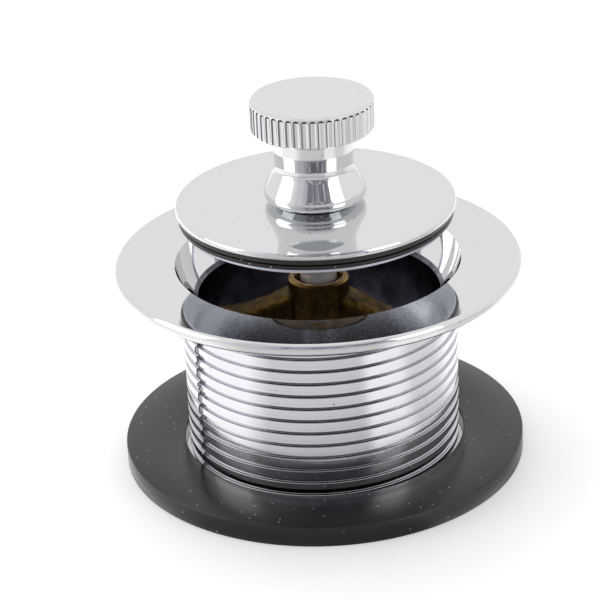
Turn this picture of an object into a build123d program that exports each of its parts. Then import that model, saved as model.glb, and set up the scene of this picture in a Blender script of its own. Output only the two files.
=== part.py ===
from build123d import *
from math import asin, cos, degrees, radians, sin, sqrt, tan
import os

# Drain body: threaded barrel, flange and seat, in millimetres
barrel_diameter = 47.8
barrel_wall = 2.9
body_height = 37.0
flange_width = 11.1
flange_edge = 2.2
flange_edge_round = 0.6
flange_fall = 0.6
hole_step = 0.7
lip_height = 1.2
lip_step = 1.1
neck_cone_width = 3.3
neck_cone_height = 5.2
seat_depth = 6.1
seat_curve_radius = 16.0

# Crossbar cast across the bore, with the tapped hub
hub_wall = 1.35
hub_length = 14.1
hub_gap = 0.15
hub_chamfer = 0.4
arm_width = 6.0
arm_turn = -12.0
arm_root_drop = 2.8
arm_tip_drop = 8.2
arm_sag = 1.4
arm_under = 1.0
arm_edge_round = 0.8

# Post screwed into the hub, and the pin across it
post_diameter = 6.3
post_thread_step = 0.8
post_thread_drop = 2.4
post_head_gap = 0.9
post_slot_width = 1.2
post_slot_depth = 1.4
post_chamfer = 0.5
pin_diameter = 1.8
pin_end_inset = 0.4
pin_drop = 1.9
pin_azimuth = 45.0

# Stopper disc with its dished top, and the seal under it
disc_gap = 0.75
disc_rise = 10.5
disc_edge = 0.9
disc_edge_slope = 0.15
disc_dish = 1.2
disc_land_margin = 0.4
disc_web = 0.65
gasket_inset = 0.4
gasket_width = 3.6
gasket_height = 1.95
gasket_groove = 0.3
gasket_groove_share = 0.45
plate_inset = 0.5
plate_thickness = 0.65
nut_width = 2.4
nut_side_gap = 0.4
nut_height = 0.9
nut_floor = 0.4

# Knob with its waisted neck
knob_overhang = 3.85
knob_height = 5.4
knob_bevel = 0.45
knob_cap = 1.8
knob_reach = 18.2
neck_wall = 1.25
bulge_swell = 1.95
bulge_height = 3.0
bulge_curve_radius = 2.73
flank_angle = 28.8
hollow_curve_radius = 3.8
cone_angle = 24.2
flute_count = 48
flute_cutter_diameter = 1.5
flute_depth = 0.24
flute_gap = 0.35
neck_washer_thickness = 0.2

# Guide sleeve inside the neck, drag ring and set screw
sleeve_wall = 1.75
sleeve_gap = 0.3
sleeve_head_gap = 0.2
window_clearance = 0.3
window_top_ring = 1.1
drag_ring_room_share = 0.46
drag_ring_wall = 1.1
set_screw_diameter = 3.0
set_screw_inset = 0.5
set_screw_socket = 1.5
set_screw_socket_depth = 1.4
set_screw_sides = 6

# Loose washer that lies round the foot of the barrel
shoe_washer_overhang = 0.2
shoe_washer_thickness = 3.6
shoe_washer_gap = 0.8

# Clearances and travel
running_gap = 0.05
bore_gap = 0.1
seat_gap = 0.15
turn_range = 90.0
cut_over = 1.0

# Radii and heights that follow from the sizes above
barrel_r = barrel_diameter / 2
flange_r = barrel_r + flange_width
hole_r = barrel_r + hole_step
bore_r = barrel_r - barrel_wall
lip_r = barrel_r - lip_step
underside = body_height - flange_edge
hole_top = body_height - flange_fall
seat_low = hole_top - seat_depth
post_r = post_diameter / 2
post_thread_r = post_r + post_thread_step
hub_r = post_thread_r + hub_wall
sleeve_bore_r = post_r + sleeve_gap
sleeve_r = sleeve_bore_r + sleeve_wall
pin_r = pin_diameter / 2
pin_length = 2 * (sleeve_r - pin_end_inset)
disc_r = hole_r - disc_gap
disc_rim_height = body_height + disc_rise
disc_low = disc_rim_height - disc_edge
disc_land = disc_rim_height - disc_dish
gasket_r = disc_r - gasket_inset
gasket_low = disc_low - gasket_height
boss_r = gasket_r - gasket_width
plate_r = gasket_r - plate_inset
plate_low = gasket_low - plate_thickness
nut_r = sleeve_r + nut_width
recess_r = nut_r + nut_side_gap
recess_wall_r = recess_r + plate_thickness
recess_high = disc_land - disc_web
recess_low = recess_high - plate_thickness
nut_low = recess_low - nut_height
cavity_r = sleeve_r + bore_gap
neck_foot = disc_land + neck_washer_thickness
bulge_mid = neck_foot + bulge_height
neck_r = cavity_r + neck_wall
bulge_r = neck_r + bulge_swell
knob_r = neck_r + knob_overhang
knob_top = disc_rim_height + knob_reach
knob_low = knob_top - knob_height
cavity_top = knob_top - knob_cap
sleeve_low = nut_low + nut_floor
sleeve_top = cavity_top - sleeve_head_gap
drag_inner_r = post_r + running_gap
drag_outer_r = drag_inner_r + drag_ring_wall
drag_low = sleeve_low + running_gap
cutter_r = flute_cutter_diameter / 2
shoe_washer_bore_r = barrel_r + shoe_washer_gap
shoe_washer_r = flange_r + shoe_washer_overhang


def ring(inner, outer, low, high):
    """A plain ring between two radii and two heights."""
    lift = Pos(0, 0, low)
    from_base = (Align.CENTER, Align.CENTER, Align.MIN)
    whole = Cylinder(outer, high - low, align=from_base)
    hole = Cylinder(inner, high - low, align=from_base)
    return lift * (whole - hole)


def rod(radius, low, high):
    """A plain upright rod between two heights."""
    from_base = (Align.CENTER, Align.CENTER, Align.MIN)
    return Pos(0, 0, low) * Cylinder(radius, high - low, align=from_base)


def turned(*lines):
    """A solid of revolution about Z from radius and height lines."""
    outline = Curve() + list(lines)
    return revolve(Plane.XZ * make_face(outline), Axis.Z)


def seat_centre():
    """Centre of the arc that the seat follows down to the bore."""
    chord_r = hole_r - bore_r
    chord = sqrt(chord_r ** 2 + seat_depth ** 2)
    reach = sqrt(seat_curve_radius ** 2 - (chord / 2) ** 2)
    centre_r = (hole_r + bore_r) / 2 - reach * seat_depth / chord
    centre_z = (hole_top + seat_low) / 2 + reach * chord_r / chord
    return centre_r, centre_z


def seat_height_at(radius):
    """Height of the seat's surface at a radius."""
    centre_r, centre_z = seat_centre()
    return centre_z - sqrt(seat_curve_radius ** 2 - (radius - centre_r) ** 2)


def stopper_drop():
    """How far the raised stopper falls until its seal or its plate meets the seat."""
    seal_fall = gasket_low - seat_height_at(gasket_r + seat_gap)
    plate_fall = plate_low - seat_height_at(plate_r + seat_gap)
    return min(seal_fall, plate_fall)


# Heights that follow from the stopper's fall
hub_top = nut_low - stopper_drop() - hub_gap
hub_low = hub_top - hub_length
post_top = cavity_top - stopper_drop() - post_head_gap
pin_height = post_top - pin_drop
pin_low = pin_height - pin_r
drag_high = drag_low + (pin_low - drag_low) * drag_ring_room_share


def drain_body():
    """Flanged body: seat, bore and barrel at the thread's outer size."""
    edge_mid = (underside + body_height) / 2
    edge_r = flange_r - flange_edge_round
    barrel_start = lip_height + lip_step
    cone_low = underside - neck_cone_height
    centre_r, centre_z = seat_centre()
    mid_r = (hole_r + bore_r) / 2 - centre_r
    mid_z = (hole_top + seat_low) / 2 - centre_z
    stretch = seat_curve_radius / sqrt(mid_r ** 2 + mid_z ** 2)
    seat_mid = (centre_r + mid_r * stretch, centre_z + mid_z * stretch)
    outside = Polyline(
        (bore_r, seat_low),
        (bore_r, 0),
        (lip_r, 0),
        (lip_r, lip_height),
        (barrel_r, barrel_start),
        (barrel_r, cone_low),
        (barrel_r + neck_cone_width, underside),
        (edge_r, underside),
    )
    edge = ThreePointArc((edge_r, underside), (flange_r, edge_mid), (edge_r, body_height))
    top = Line((edge_r, body_height), (hole_r, hole_top))
    seat = ThreePointArc((hole_r, hole_top), seat_mid, (bore_r, seat_low))
    return turned(outside, edge, top, seat)


def crossbar():
    """Two sloping cast arms across the bore, joined by the tapped hub."""
    root = hub_top - arm_root_drop
    tip = hub_top - arm_tip_drop
    reach = bore_r + cut_over
    low = hub_low + arm_under
    middle = ((hub_r + reach) / 2, (root + tip) / 2 - arm_sag)
    top = ThreePointArc((hub_r, root), middle, (reach, tip))
    rest = Polyline((reach, tip), (reach, low), (0, low), (0, root), (hub_r, root))
    side = Plane.XZ * make_face(Curve() + [top, rest])
    arm = extrude(side, amount=arm_width / 2, both=True)
    arm = fillet(arm.edges().filter_by(GeomType.CIRCLE), arm_edge_round)
    arms = (arm + Rot(0, 0, 180) * arm) & rod(bore_r, low, hub_top)
    hub = chamfer(rod(hub_r, hub_low, hub_top).edges().filter_by(GeomType.CIRCLE), hub_chamfer)
    bore = rod(post_thread_r, hub_low, hub_top)
    return Rot(0, 0, arm_turn) * (arms + hub - bore)


def post():
    """Round post with its thicker threaded foot and a slot for a screwdriver."""
    shoulder = hub_top - post_thread_drop
    foot = rod(post_thread_r, hub_low, shoulder)
    shank = rod(post_r, shoulder, post_top)
    shank = chamfer(shank.edges().group_by(Axis.Z)[-1], post_chamfer)
    slot = Pos(0, 0, post_top) * Box(post_diameter + cut_over, post_slot_width, 2 * post_slot_depth)
    return foot + shank - slot - pin_at(pin_length + cut_over)


def pin_at(length):
    """A rod of the cross pin's thickness through the post's axis."""
    lying = Rot(0, 90, 0) * Cylinder(pin_r, length)
    return Pos(0, 0, pin_height) * Rot(0, 0, pin_azimuth) * lying


def stopper_disc():
    """Disc with a shallow dished top and the boss that carries the seal."""
    land_r = neck_r + disc_land_margin
    rim_r = disc_r - disc_edge_slope
    sag_r = (land_r + rim_r) / 2
    sag_share = (sag_r - land_r) / (rim_r - land_r)
    dish_mid = (sag_r, disc_land + disc_dish * sag_share ** 2)
    dish = ThreePointArc((land_r, disc_land), dish_mid, (rim_r, disc_rim_height))
    rest = Polyline(
        (rim_r, disc_rim_height),
        (disc_r, disc_low),
        (boss_r, disc_low),
        (boss_r, gasket_low),
        (recess_wall_r, gasket_low),
        (recess_wall_r, recess_high),
        (sleeve_r, recess_high),
        (sleeve_r, disc_land),
        (land_r, disc_land),
    )
    return turned(dish, rest)


def gasket():
    """Rubber seal ring with a groove round its outer face."""
    middle = gasket_low + gasket_height * gasket_groove_share
    outline = Polyline(
        (boss_r, gasket_low),
        (gasket_r, gasket_low),
        (gasket_r, middle - gasket_groove / 2),
        (gasket_r - gasket_groove, middle),
        (gasket_r, middle + gasket_groove / 2),
        (gasket_r, disc_low),
        (boss_r, disc_low),
        (boss_r, gasket_low),
    )
    return turned(outline)


def retainer_plate():
    """Thin plate under the seal, pressed up in the middle to take the nut."""
    outline = Polyline(
        (sleeve_r, recess_low),
        (recess_r, recess_low),
        (recess_r, plate_low),
        (plate_r, plate_low),
        (plate_r, gasket_low),
        (recess_wall_r, gasket_low),
        (recess_wall_r, recess_high),
        (sleeve_r, recess_high),
        (sleeve_r, recess_low),
    )
    return turned(outline)


def retainer_nut():
    """Thin round nut on the sleeve's end, with a floor under the drag ring."""
    floor_bore_r = post_r + 2 * bore_gap
    nut = ring(sleeve_r, nut_r, sleeve_low, recess_low)
    floor = ring(floor_bore_r, nut_r, nut_low, sleeve_low)
    return nut + floor


def window_half_angle():
    """Half of the turn that one window in the sleeve leaves to the pin."""
    pin_half = degrees(asin((pin_r + window_clearance) / sleeve_bore_r))
    return turn_range / 2 + pin_half


def guide_sleeve():
    """Tube round the post, with two wide windows for the cross pin."""
    shell = ring(sleeve_bore_r, sleeve_r, sleeve_low, sleeve_top)
    pocket = rod(drag_outer_r + running_gap, sleeve_low, drag_high + running_gap)
    low = pin_low - window_clearance
    high = sleeve_top - window_top_ring
    half = window_half_angle()
    reach = 2 * sleeve_r
    wedge_top = (reach * cos(radians(half)), reach * sin(radians(half)))
    wedge_far = (reach, reach * sin(radians(half)))
    corners = [(0, 0), wedge_top, wedge_far, (reach, -wedge_far[1]), (wedge_top[0], -wedge_top[1])]
    wedge = extrude(Pos(0, 0, low) * make_face(Polyline(*corners, close=True)), amount=high - low)
    windows = Rot(0, 0, pin_azimuth - turn_range / 2) * (wedge + Rot(0, 0, 180) * wedge)
    return shell - pocket - windows


def neck_lines():
    """Lines of the neck from its foot, over the bulge and the hollow, to the knob."""
    flank, cone = radians(flank_angle), radians(cone_angle)
    bulge_centre_r = bulge_r - bulge_curve_radius
    waist = bulge_mid - sqrt(bulge_curve_radius ** 2 - (neck_r - bulge_centre_r) ** 2)
    flank_low_r = bulge_centre_r + bulge_curve_radius * cos(flank)
    flank_low = bulge_mid + bulge_curve_radius * sin(flank)
    flank_high_r = neck_r + hollow_curve_radius * (1 - cos(flank))
    flank_high = flank_low + (flank_low_r - flank_high_r) / tan(flank)
    narrowest = flank_high + hollow_curve_radius * sin(flank)
    cone_low_r = neck_r + hollow_curve_radius * (1 - cos(cone))
    cone_low = narrowest + hollow_curve_radius * sin(cone)
    cone_high_r = cone_low_r + (knob_low - cone_low) * tan(cone)
    foot = Polyline((0, neck_foot), (neck_r, neck_foot), (neck_r, waist))
    bulge = ThreePointArc((neck_r, waist), (bulge_r, bulge_mid), (flank_low_r, flank_low))
    side = Line((flank_low_r, flank_low), (flank_high_r, flank_high))
    hollow = ThreePointArc((flank_high_r, flank_high), (neck_r, narrowest), (cone_low_r, cone_low))
    flare = Line((cone_low_r, cone_low), (cone_high_r, knob_low))
    return [foot, bulge, side, hollow, flare], (cone_high_r, knob_low)


def flute_cutters():
    """Round ended upright cutters, one for each flute in the knob's side."""
    top = knob_top - knob_bevel - flute_gap - cutter_r
    cutter = rod(cutter_r, knob_low - cut_over, top) + Pos(0, 0, top) * Sphere(cutter_r)
    reach = knob_r - flute_depth + cutter_r
    return [place * cutter for place in PolarLocations(reach, flute_count)]


def knob():
    """Turned knob: fluted head, hollow neck line with its bulge, narrow foot."""
    neck, neck_end = neck_lines()
    top = Polyline(
        neck_end,
        (knob_r - knob_bevel, knob_low),
        (knob_r, knob_low + knob_bevel),
        (knob_r, knob_top - knob_bevel),
        (knob_r - knob_bevel, knob_top),
        (0, knob_top),
        (0, neck_foot),
    )
    body = turned(*neck, top)
    body = body - rod(cavity_r, neck_foot, cavity_top)
    body = body - screw_rod(bulge_r + cut_over)
    return body - flute_cutters()


def screw_rod(far):
    """A rod of the set screw's thickness from the sleeve out to a distance."""
    start = sleeve_r
    lying = Rot(-90, 0, 0) * rod(set_screw_diameter / 2, start, far)
    return Pos(0, 0, bulge_mid) * lying


def set_screw():
    """Headless screw in the back of the bulge, with a hexagon socket."""
    end = bulge_r - set_screw_inset
    start = end - set_screw_socket_depth
    outline = RegularPolygon(set_screw_socket / 2, set_screw_sides)
    socket = extrude(outline, amount=set_screw_socket_depth)
    lying = Rot(-90, 0, 0) * Pos(0, 0, start) * socket
    return screw_rod(end) - Pos(0, 0, bulge_mid) * lying


def shoe_washer():
    """Loose flat rubber washer round the foot of the barrel."""
    return ring(shoe_washer_bore_r, shoe_washer_r, 0, shoe_washer_thickness)


nodes = {
    "drain_body": drain_body(),
    "crossbar": crossbar(),
    "post": post(),
    "cross_pin": pin_at(pin_length),
    "drag_ring": ring(drag_inner_r, drag_outer_r, drag_low, drag_high),
    "stopper_disc": stopper_disc(),
    "gasket": gasket(),
    "retainer_plate": retainer_plate(),
    "retainer_nut": retainer_nut(),
    "guide_sleeve": guide_sleeve(),
    "neck_washer": ring(cavity_r, neck_r, disc_land, neck_foot),
    "knob": knob(),
    "set_screw": set_screw(),
    "shoe_washer": shoe_washer(),
}

washer_stop = underside - neck_cone_height * (1 - shoe_washer_gap / neck_cone_width)
print("stopper drop", round(stopper_drop(), 3))
print("washer rise", round(washer_stop - shoe_washer_thickness - bore_gap, 3))
print("hub top", round(hub_top, 3))

os.makedirs("parts", exist_ok=True)
for name, solid in nodes.items():
    export_step(solid, f"parts/{name}.step")
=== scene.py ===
"""Looks of a lift and turn drain stopper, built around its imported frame.

Every length that Blender gets is in metres, in the frame's own axes: +Z up, the viewer at -Y.
The classes hold their sizes in millimetres, heights measured from the foot of the barrel.
"""

import logging
import math
import random
from collections.abc import Callable, Sequence
from dataclasses import dataclass
from enum import Enum

import bmesh
import bpy
from mathutils import Matrix, Vector


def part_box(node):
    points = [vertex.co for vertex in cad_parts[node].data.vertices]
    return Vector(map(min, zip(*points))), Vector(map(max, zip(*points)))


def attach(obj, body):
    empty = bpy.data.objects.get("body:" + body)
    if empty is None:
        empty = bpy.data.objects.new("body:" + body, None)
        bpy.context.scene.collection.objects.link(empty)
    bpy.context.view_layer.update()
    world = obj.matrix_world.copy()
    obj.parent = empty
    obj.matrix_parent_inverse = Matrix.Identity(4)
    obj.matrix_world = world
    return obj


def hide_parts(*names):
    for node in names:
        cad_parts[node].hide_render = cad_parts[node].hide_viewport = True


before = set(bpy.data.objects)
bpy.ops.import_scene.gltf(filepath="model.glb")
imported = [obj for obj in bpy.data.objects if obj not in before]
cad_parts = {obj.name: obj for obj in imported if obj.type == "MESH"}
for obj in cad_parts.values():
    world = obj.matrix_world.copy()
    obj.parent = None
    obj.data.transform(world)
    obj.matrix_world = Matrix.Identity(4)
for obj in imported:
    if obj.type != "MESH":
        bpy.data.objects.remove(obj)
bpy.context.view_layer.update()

MM = 0.001
INCH_MM = 25.4
FULL_TURN = 2 * math.pi
WHITE = (1.0, 1.0, 1.0, 1.0)

# How near points lie, in metres, to count as one point or as in one plane.
SAME_POINT = 1e-6
SAME_THREAD_POINT = 1e-7
ON_CUT = 1e-8
ON_RING = 1e-9

# A colour Mix node's own numbers for its two colours and its result.
FIRST, SECOND, MIXED = 6, 7, 2

log = logging.getLogger("drain_stopper")

Point = tuple[float, float]
Colour = tuple[float, float, float, float]
Material = bpy.types.Material
Piece = bpy.types.Object
Socket = bpy.types.NodeSocket
Tree = bpy.types.NodeTree


class Body(str, Enum):
    """Rigid bodies of the frame that the new pieces ride on."""

    DRAIN = "drain"
    STOPPER = "stopper"
    WASHER = "loose_washer"


class Slot(str, Enum):
    """Material slots of the record, one named with each new piece."""

    CHROME = "chrome_plate"
    CAST_BRASS = "cast_brass"
    STEEL = "bright_steel"
    SATIN = "satin_steel"
    RUBBER = "black_rubber"


class BodyFinish(Enum):
    """Places of the drain body's finishes in its list."""

    CHROME = 0
    BORE = 1
    # Grime in the seam; the same near black finish is painted shade on the knob.
    GRIME = 2
    THREAD = 3
    # Painted shade on the groove's steep sides, paler towards the sides.
    ROOTS = 4


class KnobFinish(Enum):
    """Places of the knob's finishes in its list."""

    CHROME = 0
    # Painted shade on one wall of each flute.
    EDGE = 1
    # Painted shade in the flutes' round ends, the same near black finish as the seam's grime.
    GRIME = 2


def linear(code: str) -> Colour:
    """Turns an sRGB hex colour into linear light.

    Args:
        code: six hex digits with a leading hash.

    Returns:
        Red, green, blue and an alpha of one.
    """
    channels = [int(code[i : i + 2], 16) / 255 for i in (1, 3, 5)]
    # The sRGB curve: a straight stretch near black, then a power.
    curve = [c / 12.92 if c <= 0.04045 else ((c + 0.055) / 1.055) ** 2.4 for c in channels]
    return (curve[0], curve[1], curve[2], 1.0)


def add_node(
    tree: Tree, kind: str, inputs: dict | None = None, **settings: object
) -> bpy.types.Node:
    """Adds one shader node with its settings, values and links.

    Args:
        tree: the node tree that gets the node.
        kind: the node's type name.
        inputs: input name or number to a value or to the socket that feeds it.
        settings: properties set on the node itself.

    Returns:
        The new node.
    """
    node = tree.nodes.new(kind)
    for name, value in settings.items():
        setattr(node, name, value)
    for name, value in (inputs or {}).items():
        if isinstance(value, Socket):
            tree.links.new(value, node.inputs[name])
        else:
            node.inputs[name].default_value = value
    return node


def new_material(name: str) -> tuple[Material, bpy.types.Node, Socket]:
    """Starts a material with a Principled shader.

    Args:
        name: what the material is.

    Returns:
        The material, its shader node and the object coordinate socket.
    """
    material = bpy.data.materials.new(name)
    material.use_nodes = True
    shader = material.node_tree.nodes["Principled BSDF"]
    place = add_node(material.node_tree, "ShaderNodeTexCoord").outputs["Object"]
    return material, shader, place


def per_metre(size_mm: float) -> float:
    """Pattern scale whose features are about that many millimetres apart."""
    return 1.0 / (size_mm * MM)


@dataclass(frozen=True)
class ChromePlate:
    """Bright chrome plate on polished metal."""

    # To the eye: a cold white mirror, a little duller where it was wiped, with a few dark
    # pinholes. The real pinholes are finer than a pixel and are drawn as wide as they need to show.
    name: str = "chrome_plate"
    tint: str = "#dadbdc"
    pit_tint: str = "#1c1b1a"
    roughness: float = 0.03
    smear: float = 0.03
    smear_mm: float = 9.0
    smear_detail: float = 4.0
    smear_from: float = 0.35
    smear_to: float = 0.7
    pit_mm: float = 2.6
    pit_share: float = 0.05
    pit_core: float = 0.6

    def material(self) -> Material:
        """Builds the finish.

        Returns:
            The node material.
        """
        material, shader, place = new_material(self.name)
        tree = material.node_tree
        smears = add_node(
            tree, "ShaderNodeTexNoise",
            {"Vector": place, "Scale": per_metre(self.smear_mm), "Detail": self.smear_detail},
        )
        rough = add_node(
            tree, "ShaderNodeMapRange",
            {"Value": smears.outputs["Fac"], "From Min": self.smear_from, "From Max": self.smear_to,
             "To Min": self.roughness, "To Max": self.roughness + self.smear},
        )
        tree.links.new(rough.outputs["Result"], shader.inputs["Roughness"])
        pits = add_node(
            tree, "ShaderNodeTexVoronoi", {"Vector": place, "Scale": per_metre(self.pit_mm)}
        )
        spots = add_node(
            tree, "ShaderNodeMapRange",
            {"Value": pits.outputs["Distance"], "From Min": self.pit_share * self.pit_core,
             "From Max": self.pit_share, "To Min": 1.0, "To Max": 0.0},
        )
        colour = add_node(
            tree, "ShaderNodeMix",
            {"Factor": spots.outputs["Result"], FIRST: linear(self.tint),
             SECOND: linear(self.pit_tint)},
            data_type="RGBA",
        )
        tree.links.new(colour.outputs[MIXED], shader.inputs["Base Color"])
        shader.inputs["Metallic"].default_value = 1.0
        return material


@dataclass(frozen=True)
class TurnedPlate:
    """Chrome plate over a turned thread."""

    # To the eye: a mirror drawn out along the turns by the tool's lines, dark pinholes in
    # patches, and a painted tone that changes across X: paler towards the sides as painted
    # lamp light and, where the front tint is dark, painted shade in front. The real lines are
    # finer than a pixel and are drawn 0.32 mm apart, as coarse as they need to show.
    name: str = "plated_thread"
    tint: str = "#dadbdf"
    pit_tint: str = "#17161a"
    roughness: float = 0.1
    line_mm: float = 0.32
    line_length_mm: float = 9.0
    line_height_mm: float = 0.012
    line_detail: float = 4.0
    line_roughness: float = 0.7
    line_strength: float = 0.5
    pit_mm: float = 1.3
    pit_share: float = 0.14
    pit_patch_mm: float = 7.0
    pit_patch_from: float = 0.5
    pit_patch_to: float = 0.7
    side_light_tint: str = "#dadbdf"
    side_near_mm: float = 8.5
    side_far_mm: float = 12.5

    def material(self) -> Material:
        """Builds the finish.

        Returns:
            The node material.
        """
        material, shader, place = new_material(self.name)
        tree = material.node_tree
        along, across = per_metre(self.line_length_mm), per_metre(self.line_mm)
        stretched = add_node(
            tree, "ShaderNodeMapping", {"Vector": place, "Scale": (along, along, across)}
        )
        lines = add_node(
            tree, "ShaderNodeTexNoise",
            {"Vector": stretched.outputs["Vector"], "Scale": 1.0, "Detail": self.line_detail,
             "Roughness": self.line_roughness},
        )
        bump = add_node(
            tree, "ShaderNodeBump",
            {"Height": lines.outputs["Fac"], "Strength": self.line_strength,
             "Distance": self.line_height_mm * MM},
        )
        tree.links.new(bump.outputs["Normal"], shader.inputs["Normal"])
        pits = add_node(
            tree, "ShaderNodeTexVoronoi", {"Vector": place, "Scale": per_metre(self.pit_mm)}
        )
        patches = add_node(
            tree, "ShaderNodeTexNoise", {"Vector": place, "Scale": per_metre(self.pit_patch_mm)}
        )
        reach = add_node(
            tree, "ShaderNodeMapRange",
            {"Value": patches.outputs["Fac"], "From Min": self.pit_patch_from,
             "From Max": self.pit_patch_to, "To Min": 0.0, "To Max": self.pit_share},
        )
        spots = add_node(
            tree, "ShaderNodeMath", {0: pits.outputs["Distance"], 1: reach.outputs["Result"]},
            operation="LESS_THAN",
        )
        # Painted light and shade: the tone goes from the front tint to the side tint as X moves
        # away from the middle.
        across_x = add_node(tree, "ShaderNodeSeparateXYZ", {"Vector": place}).outputs["X"]
        sideways = add_node(tree, "ShaderNodeMath", {0: across_x}, operation="ABSOLUTE")
        beside = add_node(
            tree, "ShaderNodeMapRange",
            {"Value": sideways.outputs[0], "From Min": self.side_near_mm * MM,
             "From Max": self.side_far_mm * MM},
        )
        plate = add_node(
            tree, "ShaderNodeMix",
            {"Factor": beside.outputs["Result"], FIRST: linear(self.tint),
             SECOND: linear(self.side_light_tint)},
            data_type="RGBA",
        )
        colour = add_node(
            tree, "ShaderNodeMix",
            {"Factor": spots.outputs[0], FIRST: plate.outputs[MIXED],
             SECOND: linear(self.pit_tint)},
            data_type="RGBA",
        )
        tree.links.new(colour.outputs[MIXED], shader.inputs["Base Color"])
        shader.inputs["Metallic"].default_value = 1.0
        shader.inputs["Roughness"].default_value = self.roughness
        return material


@dataclass(frozen=True)
class BlackRubber:
    """Moulded black rubber."""

    # To the eye: a deep black with a soft sheen, clouded by bloom and dotted with pale dust.
    # The real dust is finer than a pixel, so its specks are drawn about 0.4 mm wide.
    name: str = "black_rubber"
    dark: str = "#060607"
    bloom: str = "#121317"
    speck_tint: str = "#9a9a98"
    roughness: float = 0.26
    bloom_mm: float = 6.0
    bloom_detail: float = 6.0
    bloom_roughness: float = 0.65
    bloom_from: float = 0.35
    bloom_to: float = 0.75
    grain_mm: float = 0.35
    grain_height_mm: float = 0.01
    grain_detail: float = 3.0
    grain_strength: float = 0.35
    speck_mm: float = 2.0
    speck_core: float = 0.07
    speck_edge: float = 0.11
    speck_strength: float = 0.8

    def material(self) -> Material:
        """Builds the finish.

        Returns:
            The node material.
        """
        material, shader, place = new_material(self.name)
        tree = material.node_tree
        bloom = add_node(
            tree, "ShaderNodeTexNoise",
            {"Vector": place, "Scale": per_metre(self.bloom_mm), "Detail": self.bloom_detail,
             "Roughness": self.bloom_roughness},
        )
        mottle = add_node(
            tree, "ShaderNodeMapRange",
            {"Value": bloom.outputs["Fac"], "From Min": self.bloom_from, "From Max": self.bloom_to},
        )
        colour = add_node(
            tree, "ShaderNodeMix",
            {"Factor": mottle.outputs["Result"], FIRST: linear(self.dark),
             SECOND: linear(self.bloom)},
            data_type="RGBA",
        )
        dust = add_node(
            tree, "ShaderNodeTexVoronoi", {"Vector": place, "Scale": per_metre(self.speck_mm)}
        )
        specks = add_node(
            tree, "ShaderNodeMapRange",
            {"Value": dust.outputs["Distance"], "From Min": self.speck_core,
             "From Max": self.speck_edge, "To Min": self.speck_strength, "To Max": 0.0},
        )
        dusty = add_node(
            tree, "ShaderNodeMix",
            {"Factor": specks.outputs["Result"], FIRST: colour.outputs[MIXED],
             SECOND: linear(self.speck_tint)},
            data_type="RGBA",
        )
        tree.links.new(dusty.outputs[MIXED], shader.inputs["Base Color"])
        grain = add_node(
            tree, "ShaderNodeTexNoise",
            {"Vector": place, "Scale": per_metre(self.grain_mm), "Detail": self.grain_detail},
        )
        bump = add_node(
            tree, "ShaderNodeBump",
            {"Height": grain.outputs["Fac"], "Strength": self.grain_strength,
             "Distance": self.grain_height_mm * MM},
        )
        tree.links.new(bump.outputs["Normal"], shader.inputs["Normal"])
        shader.inputs["Roughness"].default_value = self.roughness
        return material


@dataclass(frozen=True)
class MottledMetal:
    """Metal in a dark and a light tone: brass as cast or turned, or plate gone dull."""

    # To the eye: blotches of both tones over a gritty skin. The values here are those of
    # brass straight from the sand mould, dark olive brown and rough.
    name: str = "cast_brass"
    deep: str = "#2c2413"
    warm: str = "#826431"
    roughness: float = 0.5
    blotch_mm: float = 3.5
    blotch_detail: float = 8.0
    blotch_roughness: float = 0.7
    blotch_from: float = 0.35
    blotch_to: float = 0.7
    grit_mm: float = 0.8
    grit_height_mm: float = 0.25
    grit_detail: float = 5.0
    grit_strength: float = 0.6

    def material(self) -> Material:
        """Builds the finish.

        Returns:
            The node material.
        """
        material, shader, place = new_material(self.name)
        tree = material.node_tree
        blotch = add_node(
            tree, "ShaderNodeTexNoise",
            {"Vector": place, "Scale": per_metre(self.blotch_mm), "Detail": self.blotch_detail,
             "Roughness": self.blotch_roughness},
        )
        spread = add_node(
            tree, "ShaderNodeMapRange",
            {"Value": blotch.outputs["Fac"], "From Min": self.blotch_from,
             "From Max": self.blotch_to},
        )
        colour = add_node(
            tree, "ShaderNodeMix",
            {"Factor": spread.outputs["Result"], FIRST: linear(self.deep),
             SECOND: linear(self.warm)},
            data_type="RGBA",
        )
        tree.links.new(colour.outputs[MIXED], shader.inputs["Base Color"])
        grit = add_node(
            tree, "ShaderNodeTexNoise",
            {"Vector": place, "Scale": per_metre(self.grit_mm), "Detail": self.grit_detail},
        )
        bump = add_node(
            tree, "ShaderNodeBump",
            {"Height": grit.outputs["Fac"], "Strength": self.grit_strength,
             "Distance": self.grit_height_mm * MM},
        )
        tree.links.new(bump.outputs["Normal"], shader.inputs["Normal"])
        shader.inputs["Metallic"].default_value = 1.0
        shader.inputs["Roughness"].default_value = self.roughness
        return material


@dataclass(frozen=True)
class PlainFinish:
    """One colour with a fine turned or moulded grain, for steel, nylon, grime and painted shade."""

    # To the eye: an even tone whose sheen varies a little. The real grain is finer than a
    # pixel and is drawn 0.5 mm apart.
    name: str
    tint: str
    metallic: float
    roughness: float
    grain_mm: float = 0.5
    grain_detail: float = 3.0
    roughness_play: float = 0.3

    def material(self) -> Material:
        """Builds the finish.

        Returns:
            The node material.
        """
        material, shader, place = new_material(self.name)
        tree = material.node_tree
        grain = add_node(
            tree, "ShaderNodeTexNoise",
            {"Vector": place, "Scale": per_metre(self.grain_mm), "Detail": self.grain_detail},
        )
        rough = add_node(
            tree, "ShaderNodeMapRange",
            {"Value": grain.outputs["Fac"], "To Min": self.roughness * (1 - self.roughness_play),
             "To Max": self.roughness * (1 + self.roughness_play)},
        )
        tree.links.new(rough.outputs["Result"], shader.inputs["Roughness"])
        shader.inputs["Base Color"].default_value = linear(self.tint)
        shader.inputs["Metallic"].default_value = self.metallic
        return material


def deselect_all() -> None:
    """Leaves nothing selected, in object mode."""
    if bpy.context.mode != "OBJECT":
        bpy.ops.object.mode_set(mode="OBJECT")
    bpy.ops.object.select_all(action="DESELECT")


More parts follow.
